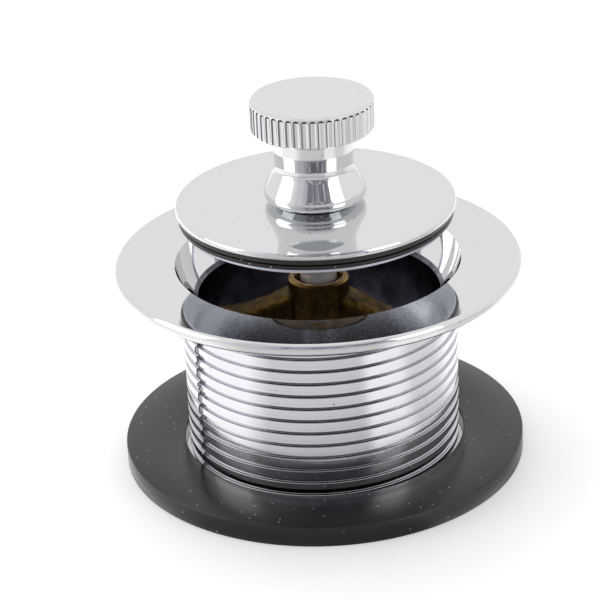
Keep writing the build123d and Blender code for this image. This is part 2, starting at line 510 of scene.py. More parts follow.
def select_only(piece: Piece, *others: Piece) -> None:
    """Selects pieces and nothing else, in object mode.

    Args:
        piece: the piece that becomes the active one.
        others: pieces selected with it.
    """
    deselect_all()
    for each in (piece, *others):
        each.select_set(True)
    bpy.context.view_layer.objects.active = piece


def edit(piece: Piece) -> None:
    """Makes a piece the only selected one and enters edit mode."""
    select_only(piece)
    bpy.ops.object.mode_set(mode="EDIT")


def pick(piece: Piece, test: Callable[[Vector], bool]) -> None:
    """Selects the points of a piece in edit mode by their place.

    Args:
        piece: the piece in edit mode.
        test: says whether a point at that place is selected.
    """
    bpy.ops.mesh.select_mode(type="VERT")
    bpy.ops.mesh.select_all(action="DESELECT")
    mesh = bmesh.from_edit_mesh(piece.data)
    for point in mesh.verts:
        if test(point.co):
            point.select_set(True)
    mesh.select_flush(True)
    bmesh.update_edit_mesh(piece.data)


def apply_modifier(piece: Piece, kind: str, **settings: object) -> None:
    """Adds one modifier with its settings and applies it.

    Args:
        piece: the piece that is changed.
        kind: the modifier's type.
        settings: properties set on the modifier.
    """
    select_only(piece)
    modifier = piece.modifiers.new(kind.title(), kind)
    for name, value in settings.items():
        setattr(modifier, name, value)
    bpy.ops.object.modifier_apply(modifier=modifier.name)


def lathe(name: str, outline: Sequence[Point], steps: int = 256, closed: bool = False) -> Piece:
    """Draws a round piece up from a circle, ring by ring.

    Args:
        name: the piece's name.
        outline: radius and height of each ring; a radius of zero is a pole.
        steps: points round each ring.
        closed: joins the last ring to the first.

    Returns:
        The piece, in object mode.
    """
    deselect_all()
    rings = list(outline)
    pole_first = rings[0][0] == 0
    start = rings[1] if pole_first else rings[0]
    bpy.ops.mesh.primitive_circle_add(vertices=steps, radius=start[0], location=(0, 0, start[1]))
    piece = bpy.context.object
    piece.name = name
    piece.data.name = name
    bpy.ops.object.mode_set(mode="EDIT")
    bpy.ops.mesh.select_all(action="SELECT")
    if pole_first:
        bpy.ops.mesh.extrude_edges_move()
        bpy.ops.transform.translate(value=(0, 0, rings[0][1] - start[1]))
        bpy.ops.mesh.merge(type="CENTER")
        pick(piece, lambda p: abs(p.z) < ON_RING and p.xy.length > start[0] / 2)
    here = start
    for ring in rings[2 if pole_first else 1 :]:
        bpy.ops.mesh.extrude_edges_move()
        if ring[0] == 0:
            bpy.ops.transform.translate(value=(0, 0, ring[1] - here[1]))
            bpy.ops.mesh.merge(type="CENTER")
            break
        ratio = ring[0] / here[0]
        bpy.ops.transform.resize(value=(ratio, ratio, 1), center_override=(0, 0, here[1]))
        bpy.ops.transform.translate(value=(0, 0, ring[1] - here[1]))
        here = ring
    bpy.ops.mesh.select_all(action="SELECT")
    if closed:
        bpy.ops.mesh.remove_doubles(threshold=SAME_POINT)
        bpy.ops.mesh.select_all(action="SELECT")
    bpy.ops.mesh.normals_make_consistent(inside=False)
    bpy.ops.object.mode_set(mode="OBJECT")
    bpy.ops.object.transform_apply(location=True, rotation=True, scale=True)
    return piece


def arc(start: Point, middle: Point, end: Point, steps: int) -> list[Point]:
    """Points along the circular arc through three points.

    Args:
        start: first point, radius and height.
        middle: a point that the arc passes.
        end: last point.
        steps: number of stretches.

    Returns:
        The points from start to end, both included.
    """
    (ax, ay), (bx, by), (cx, cy) = start, middle, end
    a2, b2, c2 = ax**2 + ay**2, bx**2 + by**2, cx**2 + cy**2
    d = 2 * (ax * (by - cy) + bx * (cy - ay) + cx * (ay - by))
    ux = (a2 * (by - cy) + b2 * (cy - ay) + c2 * (ay - by)) / d
    uy = (a2 * (cx - bx) + b2 * (ax - cx) + c2 * (bx - ax)) / d
    radius = math.hypot(ax - ux, ay - uy)
    first = math.atan2(ay - uy, ax - ux)
    passing = math.remainder(math.atan2(by - uy, bx - ux) - first, FULL_TURN)
    total = math.remainder(math.atan2(cy - uy, cx - ux) - first, FULL_TURN)
    if passing * total < 0:
        total -= math.copysign(FULL_TURN, total)
    angles = [first + total * i / steps for i in range(steps + 1)]
    return [(ux + radius * math.cos(a), uy + radius * math.sin(a)) for a in angles]


def smooth(piece: Piece, angle: float = 30.0) -> None:
    """Shades a piece smooth.

    Args:
        piece: the piece that is shaded.
        angle: edges sharper than this, in degrees, stay crisp.
    """
    select_only(piece)
    bpy.ops.object.shade_smooth_by_angle(angle=math.radians(angle))


def scaled(points: Sequence[Point]) -> list[Point]:
    """Outline points from millimetres to metres."""
    return [(radius * MM, height * MM) for radius, height in points]


def set_finishes(piece: Piece, *finishes: Material) -> None:
    """Gives a piece its finishes.

    Args:
        piece: the piece.
        finishes: the materials, in the order that its faces count them.
    """
    for finish in finishes:
        piece.data.materials.append(finish)


def finish_piece(piece: Piece, body: Body, slot: Slot, *nodes: str) -> None:
    """Ties a finished piece to the frame and reports it.

    Args:
        piece: the finished piece.
        body: the rigid body that it moves with.
        slot: the record's material slot; not used.
        nodes: the CAD nodes that it stands for.
    """
    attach(piece, body.value)
    if nodes:
        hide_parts(*nodes)
    log.info("%s: %d faces", piece.name, len(piece.data.polygons))


@dataclass
class DrainBody:
    """Flange, seat, threaded barrel and lip, in one casting. Sizes in millimetres."""

    flange_r: float = 35.0
    flange_edge: float = 2.2
    edge_round: float = 0.6
    edge_steps: int = 20
    flange_fall: float = 0.6
    rim_land: float = 1.0
    rim_land_share: float = 0.9
    crown_in: float = 0.3
    crown_fall: float = 0.01
    height: float = 37.0
    hole_r: float = 24.6
    barrel_r: float = 23.9
    bore_r: float = 21.0
    bore_rings: tuple[float, ...] = (8.0, 16.0, 24.0)
    lip_r: float = 22.8
    lip_height: float = 1.2
    lip_corner: float = 0.25
    seat_depth: float = 6.1
    seat_curve: float = 16.0
    seat_steps: int = 24
    cone_width: float = 3.3
    cone_height: float = 5.2
    cone_flare: Point = (0.5, 0.3)
    cone_foot: float = 0.05
    turns_per_inch: float = 11.0
    thread_depth: float = 0.4
    thread_gap: float = 0.3
    spare_turns: int = 3
    crest_share: float = 0.46
    flank_share: float = 0.08
    flank_steps: int = 6
    score_depth: float = 0.05
    score_width: float = 0.28
    score_floor: Point = (0.15, 0.85)
    root_from: float = 0.12
    root_floor_band: float = 0.015
    seam_azimuth: float = -62.0
    seam_depth: float = 0.3
    seam_width: float = 0.5
    seam_jog_height: float = 0.45
    seam_jog_count: int = 80
    seam_jogs: tuple[int, ...] = (0, 0, 0, 1)
    seam_seed: int = 7
    bore_plate_past: float = 0.6
    bore_plate_step: int = 4
    gap_tolerance: float = 0.02
    steps: int = 288

    @property
    def pitch(self) -> float:
        """Distance between turns of the thread."""
        return INCH_MM / self.turns_per_inch

    @property
    def underside(self) -> float:
        """Height of the flange's underside."""
        return self.height - self.flange_edge

    @property
    def cone_low(self) -> float:
        """Height at which the cone under the flange meets the thread."""
        return self.underside - self.cone_height

    def seat_points(self) -> list[Point]:
        """Draws the arc of the seat.

        Returns:
            Its points, from the bore up to the hole's rim.
        """
        hole_top = self.height - self.flange_fall
        low = (self.bore_r, hole_top - self.seat_depth)
        high = (self.hole_r, hole_top)
        half_way = ((low[0] + high[0]) / 2, (low[1] + high[1]) / 2)
        chord_r, chord_z = high[0] - low[0], high[1] - low[1]
        chord = math.hypot(chord_r, chord_z)
        reach = math.sqrt(self.seat_curve**2 - (chord / 2) ** 2)
        centre = (half_way[0] - reach * chord_z / chord, half_way[1] + reach * chord_r / chord)
        out = (half_way[0] - centre[0], half_way[1] - centre[1])
        stretch = self.seat_curve / math.hypot(*out)
        middle = (centre[0] + out[0] * stretch, centre[1] + out[1] * stretch)
        return arc(low, middle, high, self.seat_steps)

    def shell(self) -> Piece:
        """Draws everything but the thread.

        Returns:
            The shell, open between lip and cone.
        """
        under = self.underside
        edge_r = self.flange_r - self.edge_round
        edge_middle = (self.flange_r, self.height - self.flange_edge / 2)
        corner = self.lip_corner
        cone_r = self.barrel_r + self.cone_width
        flare_r, flare_z = self.cone_flare
        outline = [(self.lip_r, self.lip_height), (self.lip_r, corner), (self.lip_r - corner, 0)]
        outline += [(self.bore_r + corner, 0), (self.bore_r, corner)]
        outline += [(self.bore_r, height) for height in self.bore_rings]
        outline += self.seat_points()
        outline += [
            (self.hole_r + self.rim_land, self.height - self.flange_fall * self.rim_land_share),
            (edge_r - self.crown_in, self.height - self.crown_fall),
        ]
        outline += arc((edge_r, self.height), edge_middle, (edge_r, under), self.edge_steps)
        outline += [(cone_r + flare_r, under), (cone_r, under - flare_z)]
        outline += [(self.barrel_r + self.cone_foot, self.cone_low)]
        return lathe("drain_body", scaled(outline), self.steps)

    def tooth(self) -> list[Point]:
        """Draws one turn's profile: crest, flank, scored groove and flank.

        Returns:
            Its points, one pitch from bottom to top.
        """
        crest = self.pitch * self.crest_share
        flank = self.pitch * self.flank_share
        groove = crest + flank
        root_r = self.barrel_r - self.thread_depth
        count = self.flank_steps
        slope = [(1 - math.cos(math.pi * i / count)) / 2 for i in range(count + 1)]
        down = [
            (self.barrel_r - self.thread_depth * s, crest + flank * i / count)
            for i, s in enumerate(slope)
        ]
        up = [
            (root_r + self.thread_depth * s, self.pitch - flank * (1 - i / count))
            for i, s in enumerate(slope)
        ]
        score = [
            (root_r - self.score_depth, groove + self.score_width * share)
            for share in self.score_floor
        ]
        crown = [(self.barrel_r, 0), (self.barrel_r, crest / 2)]
        return [*crown, *down, *score, (root_r, groove + self.score_width), *up]

    def thread(self) -> Piece:
        """Sweeps the tooth round the barrel as a helix.

        Returns:
            The thread, cut level at both ends.
        """
        deselect_all()
        low, high = self.lip_height + self.thread_gap, self.cone_low - self.thread_gap
        turns = math.ceil((high - low) / self.pitch) + self.spare_turns
        below = self.spare_turns / 2 * self.pitch
        bpy.ops.mesh.primitive_plane_add(size=1, location=(0, 0, 0))
        piece = bpy.context.object
        piece.name = "thread"
        mesh = bmesh.new()
        points = [mesh.verts.new((r * MM, 0, (z + low - below) * MM)) for r, z in self.tooth()]
        for one, two in zip(points, points[1:]):
            mesh.edges.new((one, two))
        mesh.to_mesh(piece.data)
        mesh.free()
        apply_modifier(
            piece, "SCREW", axis="Z", angle=FULL_TURN, screw_offset=self.pitch * MM,
            iterations=turns, steps=self.steps, render_steps=self.steps,
            use_merge_vertices=False, use_smooth_shade=False,
        )
        edit(piece)
        bpy.ops.mesh.select_all(action="SELECT")
        bpy.ops.mesh.remove_doubles(threshold=SAME_THREAD_POINT)
        for height, lower in ((low, True), (high, False)):
            bpy.ops.mesh.select_all(action="SELECT")
            bpy.ops.mesh.bisect(
                plane_co=(0, 0, height * MM), plane_no=(0, 0, 1),
                clear_inner=lower, clear_outer=not lower, threshold=ON_CUT,
            )
        bpy.ops.object.mode_set(mode="OBJECT")
        return piece

    def dress_thread(self, thread: Piece) -> None:
        """Gives the crests and the groove's floor one finish and its steep sides the painted root
        shade.

        Args:
            thread: the thread, with its finishes assigned.
        """
        for face in thread.data.polygons:
            depth = self.barrel_r - face.center.xy.length / MM
            on_floor = abs(depth - self.thread_depth) <= self.root_floor_band
            steep = depth > self.root_from and not on_floor
            # Painted shade: the groove's steep sides get the dark root finish.
            face.material_index = (BodyFinish.ROOTS if steep else BodyFinish.THREAD).value

    def cut_seam(self, thread: Piece) -> None:
        """Sinks the jagged casting seam that runs down the thread.

        Args:
            thread: the thread, with its finishes assigned.
        """
        chance = random.Random(self.seam_seed)
        step = 360 / self.steps
        edit(thread)
        bpy.ops.mesh.select_mode(type="FACE")
        bpy.ops.mesh.select_all(action="DESELECT")
        mesh = bmesh.from_edit_mesh(thread.data)
        wander = [chance.choice(self.seam_jogs) * step for _ in range(self.seam_jog_count)]
        for face in mesh.faces:
            middle = face.calc_center_median()
            azimuth = math.degrees(math.atan2(middle.x, -middle.y))
            shift = wander[int(middle.z / (self.seam_jog_height * MM)) % len(wander)]
            if abs(azimuth - self.seam_azimuth - shift) < step * self.seam_width:
                face.select_set(True)
                face.material_index = BodyFinish.GRIME.value
        bmesh.update_edit_mesh(thread.data)
        bpy.ops.mesh.extrude_region_shrink_fatten(
            TRANSFORM_OT_shrink_fatten={"value": -self.seam_depth * MM}
        )
        bpy.ops.object.mode_set(mode="OBJECT")

    def close_gap(self, body: Piece, low: float, high: float) -> None:
        """Bridges the thread's end to the shell.

        Args:
            body: shell and thread as one piece, in edit mode.
            low: height of the gap's lower edge.
            high: height of its upper edge.
        """
        bpy.ops.mesh.select_mode(type="EDGE")
        bpy.ops.mesh.select_all(action="DESELECT")
        mesh = bmesh.from_edit_mesh(body.data)
        near = self.gap_tolerance
        for side in mesh.edges:
            heights = [point.co.z / MM for point in side.verts]
            if side.is_boundary and low - near < min(heights) and max(heights) < high + near:
                side.select_set(True)
        bmesh.update_edit_mesh(body.data)
        bpy.ops.mesh.bridge_edge_loops()

    def build(self, finishes: Sequence[Material]) -> None:
        """Joins shell and thread and dresses the body.

        Args:
            finishes: the five materials, in the order of BodyFinish.
        """
        thread = self.thread()
        set_finishes(thread, *finishes)
        self.dress_thread(thread)
        self.cut_seam(thread)
        body = self.shell()
        set_finishes(body, *finishes)
        select_only(body, thread)
        bpy.ops.object.join()
        edit(body)
        self.close_gap(body, self.lip_height, self.lip_height + self.thread_gap)
        self.close_gap(body, self.cone_low - self.thread_gap, self.cone_low)
        bpy.ops.mesh.select_all(action="SELECT")
        bpy.ops.mesh.normals_make_consistent(inside=False)
        bpy.ops.object.mode_set(mode="OBJECT")
        # Faces inside the bore, below the seat's lower part, get the darker plate.
        plated_top = self.seat_points()[self.bore_plate_step][1] * MM
        plated_r = (self.bore_r + self.bore_plate_past) * MM
        for face in body.data.polygons:
            if face.center.xy.length < plated_r and face.center.z < plated_top:
                face.material_index = BodyFinish.BORE.value
        smooth(body)
        finish_piece(body, Body.DRAIN, Slot.CHROME, "drain_body")


@dataclass
class Crossbar:
    """Rough cast arms across the bore and the machined hub. Sizes in millimetres."""

    hub_r: float = 5.3
    hub_top: float = 33.28
    hub_length: float = 14.1
    hub_corner: float = 0.4
    hub_ring_drop: float = 5.0
    hub_steps: int = 128
    hole_r: float = 3.95
    hole_ring_drop: float = 3.0
    hole_foot: float = 0.3
    hole_mouth: Point = (0.35, 0.5)
    arm_width: float = 6.0
    turn: float = -12.0
    root_drop: float = 2.8
    tip_drop: float = 8.2
    sag: float = 1.4
    under: float = 1.0
    reach: float = 21.6
    arm_cuts: int = 24
    arm_round: float = 1.3
    arm_round_steps: int = 3
    top_band: float = 0.1
    skin_cell: float = 0.35
    skin_grain: float = 1.6
    skin_height: float = 0.5
    skin_level: float = 0.5

    def hub(self) -> Piece:
        """Turns the hub with its tapped hole and narrow bright rim.

        Returns:
            The hub.
        """
        low, top, corner = self.hub_top - self.hub_length, self.hub_top, self.hub_corner
        mouth_r, mouth_z = self.hole_mouth
        outline = [
            (self.hole_r, low + self.hole_foot), (self.hole_r, top - self.hole_ring_drop),
            (self.hole_r, top - mouth_z), (self.hole_r + mouth_r, top),
            (self.hub_r - corner, top), (self.hub_r, top - corner),
            (self.hub_r, top - self.hub_ring_drop), (self.hub_r, low + corner),
            (self.hub_r - corner, low), (self.hole_r + self.hole_foot, low),
            (self.hole_r, low + self.hole_foot),
        ]
        return lathe("crossbar_hub", scaled(outline), self.hub_steps, closed=True)

    def arms(self) -> Piece:
        """Cuts both arms from a block, rounds them and roughens them like a casting.

        Returns:
            The arms, along X.
        """
        deselect_all()
        low = self.hub_top - self.hub_length + self.under
        bpy.ops.mesh.primitive_cube_add(size=1, location=(0, 0, 0))
        piece = bpy.context.object
        piece.name = "crossbar_arms"
        edit(piece)
        bpy.ops.mesh.select_all(action="SELECT")
        height = self.hub_top - self.root_drop - low
        bpy.ops.transform.resize(value=(2 * self.reach * MM, self.arm_width * MM, height * MM))
        bpy.ops.transform.translate(value=(0, 0, (low + height / 2) * MM))
        for i in range(1, self.arm_cuts):
            bpy.ops.mesh.select_all(action="SELECT")
            place = (-self.reach + 2 * self.reach * i / self.arm_cuts) * MM
            bpy.ops.mesh.bisect(plane_co=(place, 0, 0), plane_no=(1, 0, 0))
        bpy.ops.object.mode_set(mode="OBJECT")
        top = (low + height) * MM
        for point in piece.data.vertices:
            if point.co.z > top - self.top_band * MM:
                out = abs(point.co.x) / MM - self.hub_r
                share = max(0.0, out / (self.reach - self.hub_r))
                # The sag is a parabola, deepest half way from hub to tip.
                sunk = 4 * self.sag * share * (1 - share)
                fall = (self.tip_drop - self.root_drop) * share + sunk
                point.co.z -= fall * MM
        apply_modifier(
            piece, "BEVEL", width=self.arm_round * MM, segments=self.arm_round_steps,
            limit_method="ANGLE",
        )
        apply_modifier(piece, "REMESH", mode="VOXEL", voxel_size=self.skin_cell * MM)
        rough = bpy.data.textures.new("cast_skin", "CLOUDS")
        rough.noise_scale = self.skin_grain * MM
        apply_modifier(
            piece, "DISPLACE", texture=rough, texture_coords="GLOBAL",
            strength=self.skin_height * MM, mid_level=self.skin_level,
        )
        return piece

    def build(self, cast: Material, turned: Material) -> None:
        """Turns the arms into place and dresses both pieces.

        Args:
            cast: finish of the arms.
            turned: finish of the hub.
        """
        hub, arms = self.hub(), self.arms()
        arms.data.transform(Matrix.Rotation(math.radians(self.turn), 4, "Z"))
        for piece, material in ((hub, turned), (arms, cast)):
            set_finishes(piece, material)
            smooth(piece)
            finish_piece(piece, Body.DRAIN, Slot.CAST_BRASS, "crossbar")


@dataclass
class Post:
    """Bright post with its threaded foot. Sizes in millimetres."""

    radius: float = 3.15
    foot_r: float = 3.95
    low: float = 19.18
    shoulder: float = 30.88
    foot_corner: float = 0.4
    top_corner: float = 0.5
    steps: int = 96

    def build(self, steel: Material) -> None:
        """Draws and dresses the post, up to the height of its CAD node.

        Args:
            steel: finish of the post.
        """
        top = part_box("post")[1].z / MM
        outline = [(0, self.low), (self.foot_r - self.foot_corner, self.low)]
        outline += [(self.foot_r, self.low + self.foot_corner), (self.foot_r, self.shoulder)]
        outline += [(self.radius, self.shoulder), (self.radius, top - self.top_corner)]
        outline += [(self.radius - self.top_corner, top), (0, top)]
        piece = lathe("post", scaled(outline), self.steps)
        set_finishes(piece, steel)
        smooth(piece)
        finish_piece(piece, Body.DRAIN, Slot.STEEL, "post")


@dataclass
class StopperStack:
    """Disc, seal, lower plate and thin neck washer. Sizes in millimetres."""

    disc_r: float = 23.85
    rim_slope: float = 0.15
    rim_height: float = 47.5
    rim_in: float = 0.15
    rim_fall: float = 0.01
    rim_break: tuple[Point, ...] = ((0.0, -0.04), (0.06, -0.14))
    edge: float = 0.9
    edge_break: Point = (0.08, 0.1)
    dish: float = 0.15
    dish_steps: int = 40
    land_r: float = 6.95
    trough: float = 0.2
    trough_r: float = 13.5
    boss_r: float = 19.85
    sleeve_r: float = 5.2
    gasket_r: float = 23.45
    gasket_height: float = 1.95
    gasket_foot: float = 0.3
    gasket_foot_middle: float = 0.08
    gasket_top: Point = (0.1, 0.15)
    groove: float = 0.3
    groove_side: float = 0.12
    groove_share: float = 0.45
    plate_r: float = 22.95
    plate_thickness: float = 0.65
    plate_foot: float = 0.15
    plate_top: float = 0.1
    recess_r: float = 8.0
    recess_depth: float = 1.0
    recess_wall: float = 0.7
    recess_round: float = 0.2
    recess_flare: float = 0.3
    washer_r: float = 6.35
    washer_thickness: float = 0.05
    washer_gap: float = 0.1
    washer_corner: Point = (0.05, 0.02)
    washer_steps: int = 128
    steps: int = 288

    @property
    def disc_low(self) -> float:
        """Height of the disc's metal edge above the seal."""
        return self.rim_height - self.edge

    @property
    def gasket_low(self) -> float:
        """Height of the seal's underside."""
        return self.disc_low - self.gasket_height

    @property
    def land(self) -> float:
        """Height of the disc's top where the neck stands."""
        return self.rim_height - self.dish

    def disc(self) -> Piece:
        """Turns the dished disc with the boss under it.

        Returns:
            The disc.
        """
        rim_r, rim = self.disc_r - self.rim_slope, self.rim_height
        recess_top = self.gasket_low + self.recess_depth
        recess_r = self.recess_r + self.recess_wall
        trough = (self.trough_r, rim - self.trough)
        dish_end = (rim_r - self.rim_in, rim - self.rim_fall)
        edge_in, edge_up = self.edge_break
        outline = [(self.sleeve_r, recess_top), (self.sleeve_r, self.land)]
        outline += arc((self.land_r, self.land), trough, dish_end, self.dish_steps)
        outline += [(rim_r + out, rim + up) for out, up in self.rim_break]
        outline += [(self.disc_r, self.disc_low + edge_up), (self.disc_r - edge_in, self.disc_low)]
        outline += [(self.boss_r, self.disc_low), (self.boss_r, self.gasket_low)]
        outline += [(recess_r, self.gasket_low), (recess_r, recess_top)]
        outline += [(self.sleeve_r, recess_top)]
        return lathe("stopper_disc", scaled(outline), self.steps, closed=True)

    def gasket(self) -> Piece:
        """Moulds the seal ring with rounded corners and a groove round it.

        Returns:
            The seal.
        """
        low, high, r = self.gasket_low, self.disc_low, self.gasket_r
        middle = low + self.gasket_height * self.groove_share
        half = self.groove / 2
        foot, foot_middle, side = self.gasket_foot, self.gasket_foot_middle, r - self.groove_side
        top_in, top_down = self.gasket_top
        outline = [(self.boss_r, low), (r - foot, low), (r - foot_middle, low + foot_middle)]
        outline += [(r, low + foot), (r, middle - half), (side, middle - half / 2)]
        outline += [(r - self.groove, middle), (side, middle + half / 2), (r, middle + half)]
        outline += [(r, high - top_down), (r - top_in, high)]
        outline += [(self.boss_r, high), (self.boss_r, low)]
        return lathe("gasket", scaled(outline), self.steps, closed=True)

    def plate(self) -> Piece:
        """Presses the thin plate under the seal.

        Returns:
            The plate.
        """
        low, high = self.gasket_low - self.plate_thickness, self.gasket_low
        r, inner, rise = self.plate_r, self.recess_r, self.recess_depth
        wall_r, soft = inner + self.plate_thickness, self.recess_round
        flare, foot, top = self.recess_flare, self.plate_foot, self.plate_top
        outline = [(self.sleeve_r, low + rise), (inner - soft, low + rise)]
        outline += [(inner, low + rise - soft), (inner, low + flare), (inner + flare, low)]
        outline += [(r - foot, low), (r, low + foot), (r, high - top), (r - top, high)]
        outline += [(wall_r, high), (wall_r, high + rise), (self.sleeve_r, high + rise)]
        outline += [(self.sleeve_r, low + rise)]
        return lathe("retainer_plate", scaled(outline), self.steps, closed=True)

    def neck_washer(self) -> Piece:
        """Cuts the thin dark washer where the neck meets the disc.

        Returns:
            The washer.
        """
        low, high, r = self.land, self.land + self.washer_thickness, self.washer_r
        inner = self.sleeve_r + self.washer_gap
        side, rise = self.washer_corner
        outline = [(inner, low), (r - side, low), (r, low + rise), (r, high - rise)]
        outline += [(r - side, high), (inner, high), (inner, low)]
        return lathe("neck_washer", scaled(outline), self.washer_steps, closed=True)

    def build(self, chrome: Material, satin: Material, rubber: Material) -> None:
        """Builds and dresses the stack.

        Args:
            chrome: finish of the disc.
            satin: finish of the lower plate.
            rubber: finish of the seal and the neck washer.
        """
        jobs = (
            (self.disc, chrome, Slot.CHROME, "stopper_disc"),
            (self.gasket, rubber, Slot.RUBBER, "gasket"),
            (self.plate, satin, Slot.SATIN, "retainer_plate"),
            (self.neck_washer, rubber, Slot.RUBBER, "neck_washer"),
        )
        for make, material, slot, node in jobs:
            piece = make()
            set_finishes(piece, material)
            smooth(piece)
            finish_piece(piece, Body.STOPPER, slot, node)


@dataclass
class Knob:
    """Fluted head, neck, bulge and foot, turned from one bar. Sizes in millimetres."""

    head_r: float = 10.4
    top: float = 65.7
    head_height: float = 5.4
    bevel: float = 0.3
    foot: float = 47.4
    foot_r: float = 7.0
    neck_r: float = 6.65
    bulge_swell: float = 2.05
    bulge_height: float = 1.6
    bulge_curve: float = 2.73
    bulge_tuck: Point = (0.24, 0.47)
    bulge_brow: Point = (0.09, 0.4)
    bulge_under_steps: int = 20
    bulge_over_steps: int = 14
    flank_angle: float = 27.0
    hollow_curve: float = 3.8
    hollow_steps: int = 24
    cone_angle: float = 4.0
    top_fillet: float = 1.5
    top_fillet_steps: int = 12
    cap: float = 1.8
    cavity_r: float = 5.3
    cavity_break: float = 0.1
    steps: int = 192
    flutes: int = 48
    cutter_r: float = 0.85
    cutter_steps: tuple[int, int] = (32, 16)
    cutter_past: float = 1.0
    half_ball_limit: float = 0.01
    flute_depth: float = 0.24
    flute_gap: float = -0.1
    flute_dress_share: float = 1.1
    flute_top_zone: float = 2.0
    flute_top_slope: Point = (-0.95, -0.25)
    flute_wall_slope: float = 0.5
    screw_depth: float = 6.0
    screw_steps: int = 48

    @property
    def head_low(self) -> float:
        """Height of the head's underside."""
        return self.top - self.head_height

    def bulge_points(self, bulge_r: float, low_r: float, low: float) -> list[Point]:
        """Draws the bulge, from the foot round its widest place to the flank.

        Args:
            bulge_r: its widest radius.
            low_r: radius at which the flank begins.
            low: height at which the flank begins.

        Returns:
            Its points from the bottom up.
        """
        bulge_mid = self.foot + self.bulge_height
        centre_r = bulge_r - self.bulge_curve
        half = math.radians(self.flank_angle / 2)
        in_share, up_share = self.bulge_tuck
        brow_in, brow_down = self.bulge_brow
        tuck = (
            bulge_r - (bulge_r - self.foot_r) * in_share,
            self.foot + self.bulge_height * up_share,
        )
        brow = (bulge_r - brow_in, bulge_mid - brow_down)
        over = (
            centre_r + self.bulge_curve * math.cos(half),
            bulge_mid + self.bulge_curve * math.sin(half),
        )
        widest = (bulge_r, bulge_mid)
        under = arc(tuck, brow, widest, self.bulge_under_steps)
        shoulder = arc(widest, over, (low_r, low), self.bulge_over_steps)[1:]
        return [(self.foot_r, self.foot), *under, *shoulder]

    def neck_curve(self) -> list[Point]:
        """Draws the neck: bulge, straight flank, hollow, slight flare and fillet.

        Returns:
            Its points from the foot up to the head's underside.
        """
        flank, cone = math.radians(self.flank_angle), math.radians(self.cone_angle)
        bulge_r = self.neck_r + self.bulge_swell
        low_r = bulge_r - self.bulge_curve + self.bulge_curve * math.cos(flank)
        low = self.foot + self.bulge_height + self.bulge_curve * math.sin(flank)
        high_r = self.neck_r + self.hollow_curve * (1 - math.cos(flank))
        high = low + (low_r - high_r) / math.tan(flank)
        narrow = high + self.hollow_curve * math.sin(flank)
        cone_r = self.neck_r + self.hollow_curve * (1 - math.cos(cone))
        cone_low = narrow + self.hollow_curve * math.sin(cone)
        hollow = arc(
            (high_r, high), (self.neck_r, narrow), (cone_r, cone_low), self.hollow_steps
        )
        fillet = self.top_fillet
        fillet_low = self.head_low - fillet
        top_r = cone_r + (fillet_low - cone_low) * math.tan(cone)
        corner = (
            top_r + fillet * (1 - math.cos(math.pi / 4)),
            self.head_low - fillet * (1 - math.sin(math.pi / 4)),
        )
        crown = arc(
            (top_r, fillet_low), corner, (top_r + fillet, self.head_low), self.top_fillet_steps
        )
        return self.bulge_points(bulge_r, low_r, low) + hollow + crown

    def turned_body(self) -> Piece:
        """Turns the knob before its flutes are cut.

        Returns:
            The knob, hollow for the sleeve.
        """
        cavity_top, soft, edge_r = self.top - self.cap, self.cavity_break, self.head_r - self.bevel
        outline = [(0, cavity_top), (self.cavity_r, cavity_top), (self.cavity_r, self.foot + soft)]
        outline += [(self.cavity_r + soft, self.foot), (self.foot_r - soft, self.foot)]
        outline += self.neck_curve()
        outline += [(edge_r, self.head_low), (self.head_r, self.head_low + self.bevel)]
        outline += [(self.head_r, self.top - self.bevel), (edge_r, self.top)]
        outline += [(self.head_r / 2, self.top), (0, self.top)]
        return lathe("knob", scaled(outline), self.steps)

    def flute_cutters(self) -> Piece:
        """Makes all flutes as one object of round ended rods.

        Returns:
            The cutters.
        """
        deselect_all()
        high = self.top - self.bevel - self.flute_gap - self.cutter_r
        reach = self.head_r - self.flute_depth + self.cutter_r
        segments, rings = self.cutter_steps
        bpy.ops.mesh.primitive_uv_sphere_add(
            segments=segments, ring_count=rings, radius=self.cutter_r * MM,
            location=(reach * MM, 0, high * MM),
        )
        cutter = bpy.context.object
        bpy.ops.object.transform_apply(location=True, rotation=True, scale=True)
        edit(cutter)
        pick(cutter, lambda p: p.z < (high - self.half_ball_limit) * MM)
        bpy.ops.transform.translate(value=(0, 0, -(self.head_height + self.cutter_past) * MM))
        bpy.ops.object.mode_set(mode="OBJECT")
        copies = []
        for i in range(1, self.flutes):
            copy = cutter.copy()
            copy.data = cutter.data.copy()
            copy.data.transform(Matrix.Rotation(FULL_TURN * i / self.flutes, 4, "Z"))
            bpy.context.scene.collection.objects.link(copy)
            copies.append(copy)
        select_only(cutter, *copies)
        bpy.ops.object.join()
        return cutter

    def screw_cutter(self) -> Piece:
        """Makes the rod for the set screw's hole in the back of the bulge.

        Returns:
            The rod, at the place of the set screw's CAD node.
        """
        low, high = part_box("set_screw")
        deselect_all()
        bpy.ops.mesh.primitive_cylinder_add(
            vertices=self.screw_steps, radius=(high.x - low.x) / 2, depth=self.screw_depth * MM,
            location=(0, low.y + self.screw_depth / 2 * MM, (low.z + high.z) / 2),
            rotation=(math.pi / 2, 0, 0),
        )
        return bpy.context.object

    def dress_flutes(self, knob: Piece) -> None:
        """Paints shade on the flutes' round tops in near black and on one wall of each as a dark
        grey line.

        Args:
            knob: the fluted knob, with its finishes assigned.
        """
        fluted = (self.head_r - self.flute_depth * self.flute_dress_share) * MM
        zone_low = (self.top - self.flute_top_zone) * MM
        steepest, flattest = self.flute_top_slope
        for face in knob.data.polygons:
            middle, normal, out = face.center, face.normal, face.center.xy.normalized()
            if middle.xy.length <= fluted:
                continue
            # Painted shade: the steep round ends near the head's top are made near black, as the
            # shadow under each flute's end.
            if middle.z > zone_low and steepest < normal.z < flattest:
                face.material_index = KnobFinish.GRIME.value
